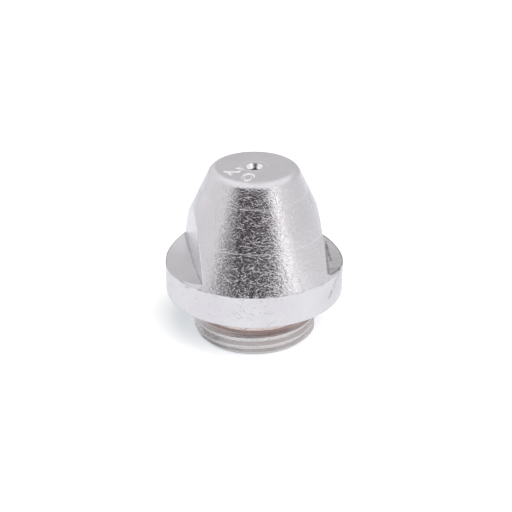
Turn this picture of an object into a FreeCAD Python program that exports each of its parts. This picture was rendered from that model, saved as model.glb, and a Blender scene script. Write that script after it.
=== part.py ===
import FreeCAD, Part
import math
import os

# Screw-in conical nozzle tip, in millimetres.
# It stands on its threaded end: +Z runs up the axis to the tip, and the origin is the
# centre of the threaded end face. The two wrench flats face +X and -X.

# Driving sizes
thread_diameter = 11.0
thread_height = 2.0
thread_lead_in = 0.55
thread_runout_angle = 22.0
relief_depth = 0.7
relief_height = 2.2
flange_diameter = 16.0
flange_height = 3.0
flange_edge_radius = 0.3
cone_height = 8.9
tip_diameter = 7.7
tip_edge_radius = 0.8
across_flats = 11.0
flat_sink = 0.2
side_mill_diameter = 45.0
orifice_diameter = 1.0
orifice_land = 1.6
orifice_mouth_diameter = 1.5
orifice_mouth_angle = 60.0
inlet_diameter = 7.0
inlet_depth = 5.0
inlet_edge = 0.3

# Levels and radii that follow from them
thread_radius = thread_diameter / 2
relief_radius = thread_radius - relief_depth
flange_radius = flange_diameter / 2
tip_radius = tip_diameter / 2
side_mill_radius = side_mill_diameter / 2
orifice_radius = orifice_diameter / 2
orifice_mouth_radius = orifice_mouth_diameter / 2
inlet_radius = inlet_diameter / 2
seat_level = thread_height + relief_height
flange_top = seat_level + flange_height
total_height = flange_top + cone_height
land_level = total_height - orifice_land
runout_height = relief_depth * math.tan(math.radians(thread_runout_angle))
cone_half_angle = math.atan2(flange_radius - tip_radius, cone_height)
orifice_mouth_depth = (
    (orifice_mouth_radius - orifice_radius) / math.tan(math.radians(orifice_mouth_angle / 2))
)


def point(radius, level):
    """Return the point at a radius and a level in the plane of the turned profile."""
    return FreeCAD.Vector(radius, 0, level)


def arc(centre_radius, centre_level, size, start, middle, end):
    """Return the arc of a profile round a centre, through three angles in degrees."""
    corners = [
        point(
            centre_radius + size * math.cos(math.radians(angle)),
            centre_level + size * math.sin(math.radians(angle)),
        )
        for angle in (start, middle, end)
    ]
    return Part.Arc(*corners).toShape()


def line(first, second):
    """Return the straight edge between two points of a profile."""
    return Part.makeLine(first, second)


def turned(edges):
    """Return the solid that a closed profile sweeps round the axis."""
    wire = Part.Wire(Part.__sortEdges__(edges))
    solid = Part.Face(wire).revolve(FreeCAD.Vector(0, 0, 0), FreeCAD.Vector(0, 0, 1), 360)
    return solid if solid.Volume > 0 else solid.reversed()


def body_profile():
    """Return the edges of the half section: the outside, the orifice and the inside."""
    # The edge of the tip is an arc that touches both the end face and the cone.
    slope_degrees = math.degrees(cone_half_angle)
    touch = tip_edge_radius * math.tan((math.pi / 2 - cone_half_angle) / 2)
    arc_centre_radius = tip_radius - touch
    arc_centre_level = total_height - tip_edge_radius
    tip_touch = point(arc_centre_radius, total_height)
    cone_touch = point(
        arc_centre_radius + tip_edge_radius * math.cos(cone_half_angle),
        arc_centre_level + tip_edge_radius * math.sin(cone_half_angle),
    )
    tip_edge = arc(
        arc_centre_radius, arc_centre_level, tip_edge_radius,
        slope_degrees, (slope_degrees + 90) / 2, 90,
    )

    # The lower edge of the flange is a quarter round.
    lower_edge = arc(
        flange_radius - flange_edge_radius, seat_level + flange_edge_radius,
        flange_edge_radius, -90, -45, 0,
    )

    outside = [
        point(inlet_radius + inlet_edge, 0),
        point(thread_radius - thread_lead_in, 0),
        point(thread_radius, thread_lead_in),
        point(thread_radius, thread_height),
        point(relief_radius, thread_height + runout_height),
        point(relief_radius, seat_level),
        point(flange_radius - flange_edge_radius, seat_level),
    ]
    inside = [
        tip_touch,
        point(orifice_mouth_radius, total_height),
        point(orifice_radius, total_height - orifice_mouth_depth),
        point(orifice_radius, land_level),
        point(inlet_radius, inlet_depth),
        point(inlet_radius, inlet_edge),
        outside[0],
    ]
    edges = [line(a, b) for a, b in zip(outside, outside[1:])]
    edges.append(lower_edge)
    edges.append(line(point(flange_radius, seat_level + flange_edge_radius),
                      point(flange_radius, flange_top)))
    edges.append(line(point(flange_radius, flange_top), cone_touch))
    edges.append(tip_edge)
    edges += [line(a, b) for a, b in zip(inside, inside[1:])]
    return edges


def flat_cutter(side):
    """Return the disc of the side mill that clears one wrench flat, with its hollow floor."""
    centre = FreeCAD.Vector(
        side * across_flats / 2, 0, flange_top - flat_sink + side_mill_radius,
    )
    return Part.makeCylinder(
        side_mill_radius, flange_radius, centre, FreeCAD.Vector(side, 0, 0),
    )


body = turned(body_profile())
for flat_side in (1, -1):
    body = body.cut(flat_cutter(flat_side))
body = body.removeSplitter()
nozzle = body.Solids[0]

os.makedirs("parts", exist_ok=True)
nozzle.exportStep("parts/nozzle_body.step")
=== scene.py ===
import math

import bmesh
import bpy
from bpy.props import (
    FloatProperty, FloatVectorProperty, IntProperty, PointerProperty, StringProperty)
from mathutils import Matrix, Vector


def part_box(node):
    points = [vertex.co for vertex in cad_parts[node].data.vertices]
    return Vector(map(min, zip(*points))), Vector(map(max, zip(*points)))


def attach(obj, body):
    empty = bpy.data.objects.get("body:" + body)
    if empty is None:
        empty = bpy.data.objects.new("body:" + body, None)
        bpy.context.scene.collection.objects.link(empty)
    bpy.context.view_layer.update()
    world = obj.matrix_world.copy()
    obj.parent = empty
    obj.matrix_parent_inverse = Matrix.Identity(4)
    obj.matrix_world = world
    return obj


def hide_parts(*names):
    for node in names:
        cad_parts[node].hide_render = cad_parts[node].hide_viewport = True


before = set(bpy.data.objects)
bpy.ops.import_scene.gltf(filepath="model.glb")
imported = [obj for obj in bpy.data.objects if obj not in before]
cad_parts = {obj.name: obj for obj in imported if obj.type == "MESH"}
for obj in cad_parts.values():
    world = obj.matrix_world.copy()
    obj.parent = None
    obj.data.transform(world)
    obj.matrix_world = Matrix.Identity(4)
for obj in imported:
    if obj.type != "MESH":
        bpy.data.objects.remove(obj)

bl_info = {
    "name": "Conical nozzle tip",
    "version": (1, 0, 0),
    "blender": (4, 5, 0),
    "location": "3D View > Sidebar > Nozzle",
    "description": "Models a screw-in conical nozzle tip and the stage it stands on",
    "category": "Object",
}

CAD_NODE = "nozzle_body"
CAD_LOW, CAD_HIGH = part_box(CAD_NODE)
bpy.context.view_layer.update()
MM = 0.001


class NozzleSizes(bpy.types.PropertyGroup):
    """Sizes of the nozzle tip."""

    total_height: FloatProperty(
        name="Total height", description="From the threaded end to the tip face",
        default=CAD_HIGH.z - CAD_LOW.z, unit="LENGTH")
    flange_diameter: FloatProperty(
        name="Flange diameter", description="Outside diameter of the flange",
        default=CAD_HIGH.x - CAD_LOW.x, unit="LENGTH")
    seat_level: FloatProperty(
        name="Seat level", description="Height of the flange's underside",
        default=4.2 * MM, unit="LENGTH")
    flange_height: FloatProperty(
        name="Flange height", description="Thickness of the flange",
        default=3.0 * MM, unit="LENGTH")
    flange_edge: FloatProperty(
        name="Flange edge", description="Radius of the flange's rounded edges",
        default=0.3 * MM, unit="LENGTH")
    tip_diameter: FloatProperty(
        name="Tip diameter", description="Diameter of the cone where it meets the tip face",
        default=7.7 * MM, unit="LENGTH")
    tip_edge: FloatProperty(
        name="Tip edge", description="Radius of the tip's rounded edge",
        default=0.8 * MM, unit="LENGTH")
    across_flats: FloatProperty(
        name="Across flats", description="Distance between the wrench flats",
        default=11.0 * MM, unit="LENGTH")
    flat_sink: FloatProperty(
        name="Flat sink", description="How far the flats' hollow floor dips below the flange's top",
        default=0.2 * MM, unit="LENGTH")
    mill_diameter: FloatProperty(
        name="Mill diameter", description="Diameter of the side mill that cuts the flats",
        default=45.0 * MM, unit="LENGTH")
    thread_diameter: FloatProperty(
        name="Thread diameter", description="Outside diameter of the thread",
        default=11.0 * MM, unit="LENGTH")
    thread_pitch: FloatProperty(
        name="Thread pitch", description="Rise of the thread in one turn",
        default=0.75 * MM, unit="LENGTH")
    thread_depth: FloatProperty(
        name="Thread depth", description="Depth of the thread's groove",
        default=0.36 * MM, unit="LENGTH")
    thread_height: FloatProperty(
        name="Thread height", description="Height of the threaded land",
        default=2.0 * MM, unit="LENGTH")
    thread_lead_in: FloatProperty(
        name="Thread lead-in", description="Chamfer at the thread's free end",
        default=0.55 * MM, unit="LENGTH")
    thread_runout: FloatProperty(
        name="Thread run-out", description="Rise of the slope from the thread to the groove",
        default=0.28 * MM, unit="LENGTH")
    relief_diameter: FloatProperty(
        name="Relief diameter", description="Diameter of the groove under the flange",
        default=9.6 * MM, unit="LENGTH")
    orifice_diameter: FloatProperty(
        name="Orifice diameter", description="Diameter of the hole in the tip",
        default=1.0 * MM, unit="LENGTH")
    mouth_diameter: FloatProperty(
        name="Mouth diameter", description="Diameter of the countersink round the orifice",
        default=1.5 * MM, unit="LENGTH")
    mouth_angle: FloatProperty(
        name="Mouth angle", description="Full angle of the countersink", subtype="ANGLE",
        default=math.radians(60))
    orifice_land: FloatProperty(
        name="Orifice land", description="Length of the straight part of the orifice",
        default=1.6 * MM, unit="LENGTH")
    inlet_diameter: FloatProperty(
        name="Inlet diameter", description="Diameter of the passage at the threaded end",
        default=7.0 * MM, unit="LENGTH")
    inlet_depth: FloatProperty(
        name="Inlet depth", description="Length of the straight part of the passage",
        default=5.0 * MM, unit="LENGTH")
    inlet_edge: FloatProperty(
        name="Inlet edge", description="Chamfer at the passage's mouth",
        default=0.3 * MM, unit="LENGTH")
    mark_text: StringProperty(
        name="Size mark", description="Plain two-figure number stamped on the tip", default="20")
    mark_height: FloatProperty(
        name="Mark height", description="Height of the stamped figures",
        default=1.75 * MM, unit="LENGTH")
    mark_depth: FloatProperty(
        name="Mark depth", description="Depth of the stamped figures",
        default=0.12 * MM, unit="LENGTH")
    segments: IntProperty(
        name="Segments", description="Steps round the turned body", default=238, min=24, max=512)


class NozzleFinish(bpy.types.PropertyGroup):
    """Colours and roughness of the nozzle tip's plating."""

    plating: FloatVectorProperty(
        name="Plating", description="Colour of the bright plating", subtype="COLOR", size=3,
        default=(0.71, 0.70, 0.722), min=0.0, max=1.0)
    thin_plating: FloatVectorProperty(
        name="Thin plating",
        description="Colour in the groove under the flange, where brass shows through",
        subtype="COLOR", size=3, default=(0.70, 0.60, 0.555), min=0.0, max=1.0)
    roughness: FloatProperty(
        name="Roughness", description="Roughness of the tumbled surface",
        default=0.165, min=0.0, max=1.0,
        subtype="FACTOR")
    worn_edge: FloatProperty(
        name="Worn edge", description="Radius that tumbling leaves on sharp edges",
        default=0.09 * MM,
        unit="LENGTH")


class NozzleStage(bpy.types.PropertyGroup):
    """The floor, light and camera round the nozzle tip."""

    camera_azimuth: FloatProperty(
        name="Camera azimuth", description="Where the camera stands round the part",
        subtype="ANGLE",
        default=math.radians(-10.2))
    camera_elevation: FloatProperty(
        name="Camera elevation", description="How far the camera looks down", subtype="ANGLE",
        default=math.radians(26.08))
    camera_distance: FloatProperty(
        name="Camera distance", description="From the camera to the flange",
        default=144.0 * MM, unit="LENGTH")
    camera_lens: FloatProperty(
        name="Camera lens", description="Focal length in millimetres", default=112.24)
    floor_colour: FloatVectorProperty(
        name="Floor colour", description="Colour of the floor", subtype="COLOR", size=3,
        default=(0.5, 0.5, 0.5), min=0.0, max=1.0)
    floor_glow: FloatProperty(
        name="Floor glow", description="Brightness that the background adds to the floor",
        default=0.58, min=0.0)
    lamp_size: FloatProperty(
        name="Lamp size", description="Diameter of the soft lamp", default=0.60, unit="LENGTH")
    lamp_energy: FloatProperty(
        name="Lamp energy", description="Power of the soft lamp in watts", default=6.4, min=0.0)
    lamp_colour: FloatVectorProperty(
        name="Lamp colour", description="Colour of the soft lamp", size=3,
        default=(1.06, 1.0, 0.94))
    lamp_place: FloatVectorProperty(
        name="Lamp place", description="To the right of the part, towards the camera and up",
        size=3, default=(0.137, 0.258, 0.46), unit="LENGTH")


def mm(length):
    """Returns a length in metres as millimetres."""
    return length / MM


# Selection and modelling helpers

def clear_selection():
    """Leaves edit mode and deselects everything."""
    if bpy.context.object and bpy.context.object.mode != "OBJECT":
        bpy.ops.object.mode_set(mode="OBJECT")
    bpy.ops.object.select_all(action="DESELECT")


def work_on(piece):
    """Selects one piece and makes it active."""
    clear_selection()
    piece.select_set(True)
    bpy.context.view_layer.objects.active = piece


def pick(piece, kind, test):
    """Selects the vertices, edges or faces of the piece in edit mode that pass a test."""
    bpy.ops.mesh.select_mode(type=kind)
    bpy.ops.mesh.select_all(action="DESELECT")
    mesh = bmesh.from_edit_mesh(piece.data)
    elements = {"VERT": mesh.verts, "EDGE": mesh.edges, "FACE": mesh.faces}[kind]
    chosen = [element for element in elements if test(element)]
    for element in chosen:
        element.select_set(True)
    mesh.select_flush_mode()
    bmesh.update_edit_mesh(piece.data)
    return len(chosen)


def draw_outline(name, corners):
    """Draws an outline in the XZ plane, corner by corner, from a plane merged to a point."""
    clear_selection()
    bpy.ops.mesh.primitive_plane_add(size=1.0, enter_editmode=True, location=(0, 0, 0))
    piece = bpy.context.object
    piece.name = name
    piece.data.name = name
    bpy.ops.mesh.select_mode(type="VERT")
    bpy.ops.mesh.select_all(action="SELECT")
    bpy.ops.mesh.merge(type="CENTER")
    bpy.ops.transform.translate(value=(corners[0][0], 0, corners[0][1]))
    for here, there in zip(corners, corners[1:]):
        step = (there[0] - here[0], 0, there[1] - here[1])
        bpy.ops.mesh.extrude_vertices_move(TRANSFORM_OT_translate={"value": step})
    bpy.ops.mesh.select_all(action="SELECT")
    bpy.ops.mesh.remove_doubles(threshold=0.0001)
    return piece


def round_corner(piece, corner, reach, segments):
    """Rounds one corner of an outline, starting at a distance of reach to each side of it."""
    place = Vector((corner[0], 0, corner[1]))
    pick(piece, "VERT", lambda vert: (vert.co - place).length < 0.001)
    bpy.ops.mesh.bevel(offset=reach, segments=segments, affect="VERTICES", offset_type="OFFSET")


def turn(piece, segments):
    """Spins an outline once round the axis and closes the solid."""
    bpy.ops.mesh.select_mode(type="VERT")
    bpy.ops.mesh.select_all(action="SELECT")
    bpy.ops.mesh.spin(steps=segments, angle=2 * math.pi, use_auto_merge=False,
                      center=(0, 0, 0), axis=(0, 0, 1))
    bpy.ops.mesh.select_all(action="SELECT")
    bpy.ops.mesh.remove_doubles(threshold=0.0001)
    bpy.ops.mesh.normals_make_consistent(inside=False)
    bpy.ops.object.mode_set(mode="OBJECT")


def apply_modifier(piece, modifier):
    """Applies one modifier of a piece."""
    work_on(piece)
    if bpy.ops.object.modifier_apply(modifier=modifier.name) != {"FINISHED"}:
        raise RuntimeError(f"the modifier {modifier.name} could not be applied")


def carve(piece, cutter, name):
    """Cuts one solid out of another and deletes the cutter."""
    modifier = piece.modifiers.new(name, "BOOLEAN")
    modifier.operation = "DIFFERENCE"
    modifier.solver = "EXACT"
    modifier.object = cutter
    apply_modifier(piece, modifier)
    bpy.data.objects.remove(cutter)


# The nozzle's own forms, in millimetres

def turned_body(sizes):
    """Returns the turned body: cone, flange, groove, threaded land and the passage through it."""
    height, flange = mm(sizes.total_height), mm(sizes.flange_diameter) / 2
    seat, flange_top = mm(sizes.seat_level), mm(sizes.seat_level + sizes.flange_height)
    tip, thread = mm(sizes.tip_diameter) / 2, mm(sizes.thread_diameter) / 2
    relief, orifice = mm(sizes.relief_diameter) / 2, mm(sizes.orifice_diameter) / 2
    mouth = mm(sizes.mouth_diameter) / 2
    mouth_floor = height - (mouth - orifice) / math.tan(sizes.mouth_angle / 2)
    inlet, land_level = mm(sizes.inlet_diameter) / 2, mm(sizes.total_height - sizes.orifice_land)
    thread_top, lead_in = mm(sizes.thread_height), mm(sizes.thread_lead_in)
    inlet_edge = mm(sizes.inlet_edge)
    slope = (flange - tip) / (height - flange_top)

    def on_cone(level):
        return flange - slope * (level - flange_top)

    # Fine lines that the tools left: two round the cone and a ring on the tip face
    line_levels, line_depth, line_reach = (flange_top + 3.36, flange_top + 6.85), 0.02, 0.05
    ring, ring_depth, ring_reach = 1.18, 0.03, 0.08
    corners = [
        (inlet + inlet_edge, 0), (thread - lead_in, 0), (thread, lead_in), (thread, thread_top),
        (relief, thread_top + mm(sizes.thread_runout)), (relief, seat), (flange, seat),
        (flange, flange_top)]
    for level in line_levels:
        low, high = level - line_reach, level + line_reach
        corners += [
            (on_cone(low), low), (on_cone(level) - line_depth, level), (on_cone(high), high)]
    corners += [
        (tip, height), (ring + ring_reach, height), (ring, height - ring_depth),
        (ring - ring_reach, height), (mouth, height), (orifice, mouth_floor),
        (orifice, land_level), (inlet, mm(sizes.inlet_depth)), (inlet, inlet_edge),
        (inlet + inlet_edge, 0)]
    body = draw_outline("nozzle", corners)
    half_turn = (math.pi / 2 - math.atan(slope)) / 2
    round_corner(body, (tip, height), mm(sizes.tip_edge) * math.tan(half_turn), 8)
    round_corner(body, (flange, seat), mm(sizes.flange_edge), 9)
    turn(body, sizes.segments)
    return body


def side_mill(sizes, side):
    """Returns the disc of the side mill that clears one flat and its hollow floor."""
    radius, width = mm(sizes.mill_diameter) / 2, mm(sizes.flange_diameter) / 2
    flat = mm(sizes.across_flats) / 2
    floor = mm(sizes.seat_level + sizes.flange_height - sizes.flat_sink)
    clear_selection()
    bpy.ops.mesh.primitive_cylinder_add(
        vertices=720, radius=radius, depth=width, rotation=(0, math.pi / 2, 0),
        location=(side * (flat + width / 2), 0, floor + radius))
    mill = bpy.context.object
    mill.name = "side mill"
    bpy.ops.object.transform_apply(location=True, rotation=True, scale=True)
    return mill


def thread_cutter(sizes, crest_level, crest_angle):
    """Returns the helical groove of a right-hand thread, with a crest at a level and an angle."""
    radius, pitch = mm(sizes.thread_diameter) / 2, mm(sizes.thread_pitch)
    depth, flank_angle, past_crest = mm(sizes.thread_depth), math.radians(30), 0.15
    root, outside = radius - depth, radius + past_crest
    floor = pitch / 8
    mouth = floor + depth * math.tan(flank_angle)
    turns, steps, lowest_start = 5, 120, -0.5
    start = crest_level - crest_angle / (2 * math.pi) * pitch + pitch / 2
    while start > lowest_start:
        start -= pitch
    corners = [
        (root, start - floor), (radius, start - mouth), (outside, start - mouth),
        (outside, start + mouth), (radius, start + mouth), (root, start + floor),
        (root, start - floor)]
    groove = draw_outline("thread groove", corners)
    bpy.ops.object.mode_set(mode="OBJECT")
    modifier = groove.modifiers.new("wind", "SCREW")
    modifier.axis = "Z"
    modifier.angle = 2 * math.pi
    modifier.screw_offset = pitch
    modifier.iterations = turns
    modifier.steps = steps
    modifier.render_steps = steps
    modifier.use_merge_vertices = False
    apply_modifier(groove, modifier)
    bpy.ops.object.mode_set(mode="EDIT")
    bpy.ops.mesh.select_all(action="SELECT")
    bpy.ops.mesh.fill_holes(sides=0)
    bpy.ops.mesh.select_all(action="SELECT")
    bpy.ops.mesh.normals_make_consistent(inside=False)
    bpy.ops.object.mode_set(mode="OBJECT")
    return groove


def figure_cutter(sizes, figure, radius, angle):
    """Returns one stamped figure, its foot turned out, at a radius and an angle on the tip face."""
    size_per_height, above_face, stroke_offset = 1.4, 0.1, -0.06
    clear_selection()
    bpy.ops.object.text_add(location=(0, 0, 0))
    text = bpy.context.object
    text.data.body = figure
    text.data.size = mm(sizes.mark_height) * size_per_height
    text.data.align_x = "CENTER"
    text.data.align_y = "CENTER"
    text.data.extrude = above_face
    text.data.offset = stroke_offset
    text.data.bevel_depth = mm(sizes.mark_depth)
    text.data.bevel_resolution = 0
    text.data.resolution_u = 4
    bpy.ops.object.convert(target="MESH")
    solid = bpy.context.object
    solid.name = "figure"
    bpy.ops.object.mode_set(mode="EDIT")
    bpy.ops.mesh.select_all(action="SELECT")
    bpy.ops.mesh.remove_doubles(threshold=0.0005)
    bpy.ops.mesh.normals_make_consistent(inside=False)
    bpy.ops.transform.rotate(
        value=-(angle + math.pi / 2), orient_axis="Z", center_override=(0, 0, 0))
    place = (
        radius * math.cos(angle), radius * math.sin(angle), mm(sizes.total_height) + above_face)
    bpy.ops.transform.translate(value=place)
    bpy.ops.object.mode_set(mode="OBJECT")
    return solid


def bring_to_metres(piece):
    """Scales a piece that was modelled in millimetres to metres, in its mesh."""
    work_on(piece)
    bpy.ops.object.mode_set(mode="EDIT")
    bpy.ops.mesh.select_all(action="SELECT")
    bpy.ops.transform.resize(value=(MM, MM, MM), center_override=(0, 0, 0))
    bpy.ops.object.mode_set(mode="OBJECT")


# Materials

class Nodes:
    """A short way to build a node tree: each call adds a node and returns its output."""

    def __init__(self, tree):
        self.tree = tree
        tree.nodes.clear()

    def add(self, kind, settings=(), inputs=(), output=0):
        node = self.tree.nodes.new(kind)
        for name, value in dict(settings).items():
            setattr(node, name, value)
        for name, value in dict(inputs).items():
            socket = node.inputs[name]
            if isinstance(value, bpy.types.NodeSocket):
                self.tree.links.new(value, socket)
            else:
                socket.default_value = value
        return node.outputs[output]

    def math(self, operation, first, second=0.0, clamp=False):
        return self.add(
            "ShaderNodeMath", {"operation": operation, "use_clamp": clamp}, {0: first, 1: second})

    def product(self, first, *others):
        for other in others:
            first = self.math("MULTIPLY", first, other)
        return first

    def vector(self, operation, first, second=(0, 0, 0), output=0):
        return self.add(
            "ShaderNodeVectorMath", {"operation": operation}, {0: first, 1: second}, output)

    def split(self, vector):
        node = self.tree.nodes.new("ShaderNodeSeparateXYZ")
        self.tree.links.new(vector, node.inputs[0])
        return node.outputs

    def noise(self, place, scale, detail):
        return self.add(
            "ShaderNodeTexNoise", inputs={"Vector": place, "Scale": scale, "Detail": detail})

    def remap(self, value, low, high, to_low=0.0, to_high=1.0, kind="LINEAR"):
        return self.add("ShaderNodeMapRange", {"interpolation_type": kind}, {
            "Value": value, "From Min": low, "From Max": high,
            "To Min": to_low, "To Max": to_high})

    def mix(self, factor, first, second):
        return self.add(
            "ShaderNodeMix", {"data_type": "RGBA"}, {0: factor, 6: first, 7: second}, 2)

    def end(self, kind, surface):
        node = self.tree.nodes.new(kind)
        self.tree.links.new(surface, node.inputs[0])


def new_material(name):
    """Returns a new material and the nodes to build it with."""
    material = bpy.data.materials.new(name)
    material.use_nodes = True
    return material, Nodes(material.node_tree)


def scratches(nodes, position, scale, width, shift):
    """Returns a pattern of short straight scratches, one in each cell, each its own way round."""
    moved = nodes.vector("ADD", position, (shift, shift * 0.7, -shift * 0.4))
    cell = nodes.tree.nodes.new("ShaderNodeTexVoronoi")
    cell.feature = "F1"
    nodes.tree.links.new(moved, cell.inputs["Vector"])
    cell.inputs["Scale"].default_value = scale
    offset = nodes.vector("SUBTRACT", moved, cell.outputs["Position"])
    direction = nodes.vector(
        "NORMALIZE", nodes.vector("SUBTRACT", cell.outputs["Color"], (0.5, 0.5, 0.5)))
    away = nodes.math("ABSOLUTE", nodes.vector("DOT_PRODUCT", offset, direction, output=1))
    line = nodes.remap(away, 0.0, width, 1.0, 0.0, "SMOOTHSTEP")
    ends = nodes.remap(cell.outputs["Distance"], 0.25, 0.6, 1.0, 0.0, "SMOOTHSTEP")
    return nodes.product(line, ends)


def line_mark(nodes, position, places, width):
    """Returns a soft mark along a line through places on the part, both given in millimetres."""
    nearest = None
    for start, end in zip(places, places[1:]):
        first, along = Vector(start) * MM, (Vector(end) - Vector(start)) * MM
        offset = nodes.vector("SUBTRACT", position, first)
        share = nodes.math("MULTIPLY", nodes.vector("DOT_PRODUCT", offset, along, output=1),
                           1 / along.length_squared, True)
        foot = nodes.add(
            "ShaderNodeVectorMath", {"operation": "SCALE"}, {0: along, "Scale": share})
        away = nodes.vector("DISTANCE", offset, foot, output=1)
        nearest = nodes.math("MINIMUM", nearest, away) if nearest else away
    return nodes.remap(nearest, 0.0, width * MM, 1.0, 0.0, "SMOOTHSTEP")


# Tones of the plating's details
CLOUD_SHARES = (0.95, 0.935, 0.945)
THREAD_TONE = (0.59, 0.54, 0.485, 1)
# Painted shade on the run-out slope below the groove
RUNOUT_SHADE_TONE = (0.46, 0.39, 0.355, 1)
# Painted shade, for the corner between the cone and the flange and for the bore
PAINTED_SHADE_TONE = (0.12, 0.12, 0.12, 1)
# Painted highlight on the walls of the stamped strokes
STROKE_HIGHLIGHT_TONE = (0.88, 0.86, 0.87, 1)
# Painted highlight on the countersink round the orifice
COUNTERSINK_HIGHLIGHT_TONE = (0.93, 0.93, 0.93, 1)
SPECULAR_TINT = (0.97, 0.97, 0.98, 1)

# Short scratches, as cells in a metre, half width, shift of the pattern and share of the depth
SCRATCHES = (
    (1500.0, 0.03 * MM, 0.031, 0.25),
    (2400.0, 0.025 * MM, 0.083, 0.25),
    (700.0, 0.03 * MM, 0.057, 0.2))

# Dark and bright marks, as width, strength, shade and the places that each runs through: stains,
# with painted shade and reflections in the creases, rims and thread and one painted highlight
DARK, PAINTED_HIGHLIGHT = 0.12, 1.0
STAINS_AND_PAINTED_LIGHT = (
    # Beside the right flat: painted shade along its foot, a streak, a painted reflection on the
    # rear rim, and a dark patch and its corner
    (0.15, 0.75, DARK, ((7.11, 2.3, 7.1), (6.7, 0.1, 7.0), (6.21, -2.6, 7.15), (5.72, -5.25, 7.6))),
    (0.19, 0.75, DARK, ((7.04, 1.75, 7.07), (6.84, -0.18, 7.0), (6.73, -1.6, 7.06))),
    (0.13, 0.6, DARK, ((7.1, 3.2, 7.2), (7.64, 2.2, 7.1), (7.95, 0.6, 7.0), (7.85, -1.5, 7.05),
                       (7.35, -3.1, 7.2))),
    (0.95, 0.42, DARK, ((6.2, -4.0, 7.35), (6.8, -3.9, 7.3))),
    (0.24, 0.7, DARK, ((5.9, -5.2, 7.6), (6.3, -4.75, 7.5), (6.75, -4.15, 7.4),
                       (7.15, -3.5, 7.25))),
    (2.6, 0.22, DARK, ((6.3, 3.0, 7.2), (7.3, -4.0, 7.2))),
    # Down the right of the flange
    (0.24, 0.45, DARK, ((6.48, -4.7, 6.69), (6.2, -5.05, 6.3))),
    (0.3, 0.5, DARK, ((5.95, -5.35, 5.95), (5.73, -5.59, 5.53))),
    (2.2, 0.1, DARK, ((7.3, -3.3, 5.7), (5.4, -5.9, 5.7))),
    # Beside the left flat: painted shade along its foot, a painted reflection round the rear rim,
    # and a painted highlight along the flat's edge above
    (0.13, 0.5, DARK, ((-5.6, 5.3, 7.6), (-5.55, 3.0, 7.2), (-5.5, 0.0, 7.0), (-5.5, -2.8, 7.17),
                       (-5.5, -5.2, 7.6))),
    (0.12, 0.55, DARK, ((-5.5, 5.5, 7.67), (-6.22, 4.8, 7.51), (-6.84, 4.0, 7.36),
                        (-7.42, 3.0, 7.2), (-7.86, 1.5, 7.05), (-8.0, 0.0, 7.0))),
    (0.1, 0.9, PAINTED_HIGHLIGHT, ((-5.5, -5.45, 7.75), (-5.5, -4.94, 8.5), (-5.5, -4.21, 9.5),
                        (-5.5, -3.39, 10.5))),
    (0.16, 0.5, DARK, ((-6.85, -4.14, 6.95), (-6.58, -4.55, 7.05))),
    (0.16, 0.5, DARK, ((-5.95, -5.35, 7.2), (-5.75, -5.55, 7.2))),
    # Painted shade over the left of the thread, where it mirrors the floor's shadow
    (1.6, 0.35, DARK, ((-5.4, -0.6, 1.0), (-4.3, -3.4, 1.0))))


def thin_places(nodes, sizes, finish, level, below, patches):
    """Returns how much brown shows through the plating below the flange, and its tone, with a
    painted shade on the run-out slope.
    """
    top = sizes.thread_height
    groove = nodes.remap(level, top, top + 0.05 * MM)
    # Painted shade: a dark band on the slope from the thread up to the groove
    runout_shade = nodes.math(
        "SUBTRACT", nodes.remap(level, top, top + 0.03 * MM),
        nodes.remap(level, top + 0.12 * MM, top + 0.17 * MM))
    thin = nodes.product(
        below, nodes.remap(groove, 0.0, 1.0, 0.45, 1.0), nodes.remap(patches, 0.3, 0.7, 0.6, 1.0))
    brown = nodes.mix(groove, THREAD_TONE, (*finish.thin_plating, 1))
    return thin, nodes.mix(runout_shade, brown, RUNOUT_SHADE_TONE)


def struck_places(nodes, sizes, level, reach):
    """Returns where the stamp struck: a ring of the tip face, down to the strokes' floor."""
    top, floor = sizes.total_height, sizes.total_height - sizes.mark_depth
    return nodes.product(
        nodes.remap(reach, 1.35 * MM, 1.37 * MM), nodes.remap(reach, 3.3 * MM, 3.28 * MM),
        nodes.remap(level, top - 0.004 * MM, top - 0.02 * MM),
        nodes.remap(level, floor + 0.002 * MM, floor + 0.02 * MM))


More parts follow.
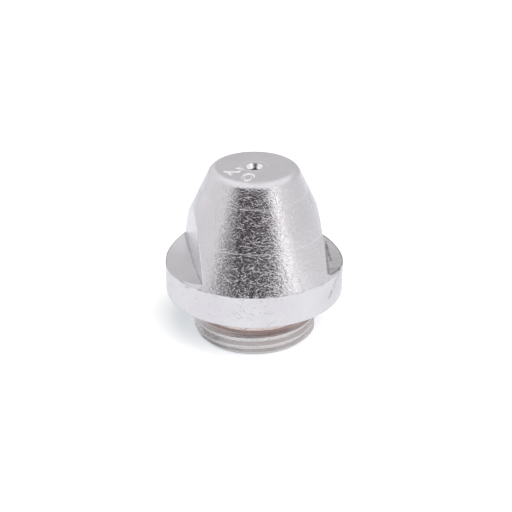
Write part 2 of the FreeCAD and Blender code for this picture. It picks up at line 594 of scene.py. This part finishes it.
def plating_colour(nodes, sizes, finish, position, level, reach, below, struck):
    """Returns the plating's colour, with its brown places, stains, painted shade, reflections and
    highlights, stamp and hole.
    """
    patches = nodes.noise(position, 700.0, 3.0)
    cloud = nodes.remap(nodes.noise(position, 260.0, 2.0), 0.35, 0.65)
    clouded = [channel * share for channel, share in zip(finish.plating, CLOUD_SHARES)]
    colour = nodes.mix(cloud, (*finish.plating, 1), (*clouded, 1))
    thin, brown = thin_places(nodes, sizes, finish, level, below, patches)
    colour = nodes.mix(thin, colour, brown)

    # Stains, painted shade and reflections and a painted highlight, broken up by a fine grain
    broken = nodes.remap(nodes.noise(position, 2300.0, 3.0), 0.38, 0.62, 0.5, 1.0)
    for width, strength, shade, places in STAINS_AND_PAINTED_LIGHT:
        mark = nodes.product(line_mark(nodes, position, places, width), broken, strength)
        colour = nodes.mix(mark, colour, (shade, shade, shade, 1))

    # Painted shade along the corner between the cone and the flange, patchy
    out = nodes.math("SUBTRACT", reach, sizes.flange_diameter / 2)
    above = nodes.math("SUBTRACT", level, sizes.seat_level + sizes.flange_height)
    away = nodes.math(
        "SQRT", nodes.math("ADD", nodes.product(out, out), nodes.product(above, above)))
    corner = nodes.remap(away, 0.0, 0.13 * MM, 0.45, 0.0, "SMOOTHSTEP")
    corner_shade = nodes.product(corner, nodes.remap(patches, 0.45, 0.62))
    colour = nodes.mix(corner_shade, colour, PAINTED_SHADE_TONE)

    # Painted highlights on the stamped strokes' walls and on the countersink, and painted shade in
    # the bore behind it
    colour = nodes.mix(struck, colour, STROKE_HIGHLIGHT_TONE)
    top, mouth = sizes.total_height, sizes.mouth_diameter / 2
    inner = nodes.remap(reach, mouth + 0.03 * MM, mouth + 0.01 * MM)
    countersink_highlight = nodes.product(inner, nodes.remap(level, top, top - 0.02 * MM))
    colour = nodes.mix(countersink_highlight, colour, COUNTERSINK_HIGHLIGHT_TONE)
    # Painted shade in the bore behind the countersink
    bore = nodes.product(inner, nodes.remap(level, top - 0.38 * MM, top - 0.44 * MM))
    return nodes.mix(bore, colour, PAINTED_SHADE_TONE)


def plating_normal(nodes, sizes, finish, position, level, reach, below):
    """Returns the tumbled skin as a normal: dents and short scratches, over worn edges."""
    squat = nodes.add("ShaderNodeMapping", inputs={"Vector": position, "Scale": (1.0, 1.0, 2.0)})
    dents = nodes.add("ShaderNodeTexNoise", inputs={
        "Vector": squat, "Scale": 4000.0, "Detail": 2.5, "Roughness": 0.6, "Distortion": 0.3})
    height = nodes.product(nodes.math("POWER", nodes.remap(dents, 0.25, 0.75), 1.8), 0.45)
    for scale, width, shift, depth in SCRATCHES:
        mark = nodes.product(scratches(nodes, position, scale, width, shift), depth)
        height = nodes.math("SUBTRACT", height, mark)

    # The skin is flatter on level faces, the flange and the countersink, and deeper low on the cone
    facing = nodes.math("ABSOLUTE", nodes.split(nodes.add("ShaderNodeNewGeometry", output=3))["Z"])
    flange_top, mouth = sizes.seat_level + sizes.flange_height, sizes.mouth_diameter / 2
    strength = nodes.product(
        nodes.remap(facing, 0.85, 0.97, 1.0, 0.5),
        nodes.remap(level, flange_top, flange_top + 3.5 * MM, 1.3, 1.0),
        nodes.remap(level, flange_top - 0.1 * MM, flange_top, 0.8, 1.0),
        nodes.remap(reach, mouth - 0.05 * MM, mouth + 0.03 * MM, 0.1, 1.0))

    # Tumbling wore the edges round, but less at the countersink and the thread
    crisp = nodes.product(
        nodes.remap(reach, mouth, mouth + 0.10 * MM, 0.1, 1.0),
        nodes.remap(below, 0.0, 1.0, 1.0, 0.45))
    worn = nodes.add(
        "ShaderNodeBevel", {"samples": 6}, {"Radius": nodes.product(crisp, finish.worn_edge)})
    return nodes.add("ShaderNodeBump", inputs={
        "Strength": strength, "Distance": 0.036 * MM, "Height": height, "Normal": worn})


def plated_metal(sizes, finish):
    """Returns the tumbled plating: bright, scratched and dented, browner below the flange."""
    material, nodes = new_material("Tumbled plating")
    position = nodes.add("ShaderNodeTexCoord", output=3)
    level = nodes.split(position)["Z"]
    reach = nodes.vector("LENGTH", nodes.vector("MULTIPLY", position, (1, 1, 0)), output=1)
    below = nodes.remap(level, sizes.seat_level + 0.02 * MM, sizes.seat_level - 0.03 * MM)
    struck = struck_places(nodes, sizes, level, reach)

    # Roughness wanders a little over the tumbled skin, and the stamp leaves its strokes duller
    rough = nodes.remap(nodes.noise(position, 2600.0, 4.0), 0.3, 0.7,
                        finish.roughness * 0.8, finish.roughness * 1.25)
    shader = nodes.add("ShaderNodeBsdfPrincipled", inputs={
        "Metallic": 1.0, "Specular Tint": SPECULAR_TINT,
        "Base Color": plating_colour(
            nodes, sizes, finish, position, level, reach, below, struck),
        "Roughness": nodes.math("ADD", rough, nodes.product(struck, 0.2)),
        "Normal": plating_normal(nodes, sizes, finish, position, level, reach, below)})
    nodes.end("ShaderNodeOutputMaterial", shader)
    return material


# What the metal mirrors of the floor: a share of each channel of its colour, and of its glow
FLOOR_IN_METAL = (0.735, 0.76, 0.80)
GLOW_IN_METAL = 0.90
GLOW_COLOUR = (0.955, 1.0, 1.045, 1)


def floor_material(stage):
    """Returns the pale floor, which shows as the white background and keeps the part's shadow."""
    material, nodes = new_material("Pale floor")
    path = nodes.tree.nodes.new("ShaderNodeLightPath").outputs
    dimmed = [channel * share for channel, share in zip(stage.floor_colour, FLOOR_IN_METAL)]
    base = nodes.add("ShaderNodeBsdfDiffuse", inputs={
        "Color": nodes.mix(path["Is Glossy Ray"], (*stage.floor_colour, 1), (*dimmed, 1))})
    mirrored = nodes.product(path["Is Glossy Ray"], GLOW_IN_METAL)
    seen = nodes.math("MAXIMUM", path["Is Camera Ray"], mirrored)
    seen = nodes.math("MAXIMUM", seen, path["Is Transmission Ray"])
    glow = nodes.add("ShaderNodeEmission", inputs={
        "Color": GLOW_COLOUR, "Strength": nodes.product(seen, stage.floor_glow)})
    both = nodes.add("ShaderNodeAddShader", inputs={0: base, 1: glow})
    nodes.end("ShaderNodeOutputMaterial", both)
    return material


# The studio's walls, as degrees round the part from the side that faces the camera, and grey
WALLS = (
    (-180, 0.70), (-172, 0.72), (-164, 0.96), (-140, 0.93), (-125, 1.0), (-100, 0.90),
    (-75, 0.90), (-57, 0.86), (-52, 0.50), (-49, 0.10), (-44, 0.50), (-40, 0.40),
    (-36, 0.12), (-31, 0.062), (10, 0.062), (28, 0.075), (36, 0.45), (40, 1.85),
    (50, 1.6), (58, 0.92), (110, 0.80), (150, 0.72), (180, 0.70))
LOW_WALL = (0.40, 0.40, 0.41, 1)
CEILING = (1.10, 1.10, 1.12, 1)
DIFFUSE_FILL = (0.06, 0.06, 0.062, 1)
WHITE = (1, 1, 1, 1)


def studio_world(stage):
    """Returns the studio round the part: white to the camera, grey and dark walls in the metal."""
    world = bpy.data.worlds.new("Studio")
    world.use_nodes = True
    nodes = Nodes(world.node_tree)
    turned = nodes.add("ShaderNodeVectorRotate", {"rotation_type": "Z_AXIS"}, {
        "Vector": nodes.add("ShaderNodeTexCoord"), "Angle": -stage.camera_azimuth})
    parts = nodes.split(turned)
    rise = parts["Z"]
    angle = nodes.math("ARCTAN2", parts["X"], nodes.product(parts["Y"], -1.0))

    # Low down, the edge between the dark and the bright wall lies further round
    slant = nodes.product(
        nodes.remap(rise, 0.35, 0.375, math.radians(6), 0.0),
        nodes.remap(angle, math.radians(8), math.radians(25)),
        nodes.remap(angle, math.radians(62), math.radians(48)))
    share = nodes.remap(nodes.math("SUBTRACT", angle, slant), -math.pi, math.pi)
    walls = nodes.tree.nodes.new("ShaderNodeValToRGB")
    nodes.tree.links.new(share, walls.inputs[0])
    ramp = walls.color_ramp
    while len(ramp.elements) < len(WALLS):
        ramp.elements.new(0.5)
    for element, (degrees, grey) in zip(ramp.elements, WALLS):
        element.position = (degrees + 180) / 360
        element.color = (grey + 0.012, grey, grey + 0.006, 1)

    # The wall behind the part is darker at its foot, and the ceiling is bright
    behind = nodes.remap(nodes.math("ABSOLUTE", angle), math.radians(140), math.radians(165))
    foot = nodes.product(behind, nodes.remap(rise, 0.0, 0.10, 1.0, 0.0))
    room = nodes.mix(foot, walls.outputs[0], LOW_WALL)
    reach = nodes.remap(angle, math.radians(4), math.radians(20), 0.0, 0.10)
    above = nodes.product(nodes.remap(nodes.math("ADD", rise, reach), 0.61, 0.74),
                          nodes.remap(behind, 0.0, 1.0, 1.0, 0.4))
    studio = nodes.mix(above, room, CEILING)
    path = nodes.tree.nodes.new("ShaderNodeLightPath").outputs
    fill = nodes.mix(path["Is Diffuse Ray"], studio, DIFFUSE_FILL)
    seen = nodes.mix(path["Is Camera Ray"], fill, WHITE)
    background = nodes.add("ShaderNodeBackground", inputs={"Color": seen, "Strength": 1.0})
    nodes.end("ShaderNodeOutputWorld", background)
    return world


# Operators

# Where a crest of the thread shows, and where each figure stands: millimetres and degrees
CREST_LEVEL, CREST_ANGLE = 1.835, -100.2
FIGURE_PLACES = ((2.1, -158), (2.55, -113))

# What the camera aims at, to the right of and above the flange's top
AIM_RIGHT, AIM_UP = 0.1485 * MM, 0.138 * MM


class NOZZLE_OT_body(bpy.types.Operator):
    """Models the nozzle tip: turned body, wrench flats, thread and stamped size mark"""

    bl_idname = "nozzle.body"
    bl_label = "Nozzle body"

    def execute(self, context):
        sizes, finish = context.scene.nozzle_sizes, context.scene.nozzle_finish
        body = turned_body(sizes)
        for side in (1, -1):
            carve(body, side_mill(sizes, side), "mill a flat")
        carve(body, thread_cutter(sizes, CREST_LEVEL, math.radians(CREST_ANGLE)), "cut the thread")
        for figure, (radius, degrees) in zip(sizes.mark_text, FIGURE_PLACES):
            cutter = figure_cutter(sizes, figure, radius, math.radians(degrees))
            carve(body, cutter, "stamp a figure")
        bring_to_metres(body)
        work_on(body)
        bpy.ops.object.shade_smooth_by_angle(angle=math.radians(20))
        evened = body.modifiers.new("even shading", "WEIGHTED_NORMAL")
        evened.keep_sharp = True
        apply_modifier(body, evened)
        body.data.materials.clear()
        body.data.materials.append(plated_metal(sizes, finish))
        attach(body, "root")
        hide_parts(CAD_NODE)
        return {"FINISHED"}


class NOZZLE_OT_stage(bpy.types.Operator):
    """Sets the floor, the studio light and the camera"""

    bl_idname = "nozzle.stage"
    bl_label = "Stage"

    def execute(self, context):
        stage, sizes = context.scene.nozzle_stage, context.scene.nozzle_sizes
        clear_selection()
        bpy.ops.mesh.primitive_plane_add(size=3.0, location=(0, 0, 0))
        floor = context.object
        floor.name = "floor"
        floor.data.materials.append(floor_material(stage))
        context.scene.world = studio_world(stage)

        azimuth, elevation = stage.camera_azimuth, stage.camera_elevation
        back = Vector((math.sin(azimuth) * math.cos(elevation),
                       -math.cos(azimuth) * math.cos(elevation), math.sin(elevation)))
        right = Vector((math.cos(azimuth), math.sin(azimuth), 0))
        front = Vector((math.sin(azimuth), -math.cos(azimuth), 0))
        flange_top = Vector((0, 0, sizes.seat_level + sizes.flange_height))
        target = flange_top + right * AIM_RIGHT + back.cross(right) * AIM_UP

        clear_selection()
        bpy.ops.object.light_add(type="AREA")
        lamp = context.object
        lamp.name = "soft lamp"
        lamp.data.shape = "DISK"
        lamp.data.size = stage.lamp_size
        lamp.data.energy = stage.lamp_energy
        lamp.data.color = stage.lamp_colour
        across, toward, height = stage.lamp_place
        lamp.location = target + right * across + front * toward + Vector((0, 0, height))
        lamp.rotation_euler = (target - lamp.location).to_track_quat("-Z", "Y").to_euler()
        lamp.visible_glossy = False

        clear_selection()
        bpy.ops.object.camera_add(location=target + back * stage.camera_distance)
        camera = context.object
        camera.rotation_euler = (-back).to_track_quat("-Z", "Y").to_euler()
        camera.data.lens = stage.camera_lens
        camera.data.sensor_width = 36.0
        camera.data.clip_start = 0.01
        camera.data.clip_end = 10.0
        context.scene.camera = camera
        context.scene.view_settings.view_transform = "Standard"
        return {"FINISHED"}


class NOZZLE_PT_panel(bpy.types.Panel):
    """The nozzle tip's sizes, finish and stage"""

    bl_idname = "NOZZLE_PT_panel"
    bl_label = "Conical nozzle tip"
    bl_space_type = "VIEW_3D"
    bl_region_type = "UI"
    bl_category = "Nozzle"

    def draw(self, context):
        layout = self.layout
        for group, operator in (
                (context.scene.nozzle_sizes, NOZZLE_OT_body), (context.scene.nozzle_finish, None),
                (context.scene.nozzle_stage, NOZZLE_OT_stage)):
            column = layout.column(align=True)
            for name in group.__annotations__:
                column.prop(group, name)
            if operator:
                layout.operator(operator.bl_idname)


CLASSES = (NozzleSizes, NozzleFinish, NozzleStage, NOZZLE_OT_body, NOZZLE_OT_stage, NOZZLE_PT_panel)


def register():
    """Registers the classes and gives the scene their settings."""
    for cls in CLASSES:
        bpy.utils.register_class(cls)
    bpy.types.Scene.nozzle_sizes = PointerProperty(type=NozzleSizes)
    bpy.types.Scene.nozzle_finish = PointerProperty(type=NozzleFinish)
    bpy.types.Scene.nozzle_stage = PointerProperty(type=NozzleStage)


def unregister():
    """Takes the settings and the classes away again."""
    del bpy.types.Scene.nozzle_stage
    del bpy.types.Scene.nozzle_finish
    del bpy.types.Scene.nozzle_sizes
    for cls in reversed(CLASSES):
        bpy.utils.unregister_class(cls)


def main():
    """Builds the nozzle tip and its stage."""
    register()
    bpy.ops.nozzle.body()
    bpy.ops.nozzle.stage()


if __name__ == "__main__":
    main()
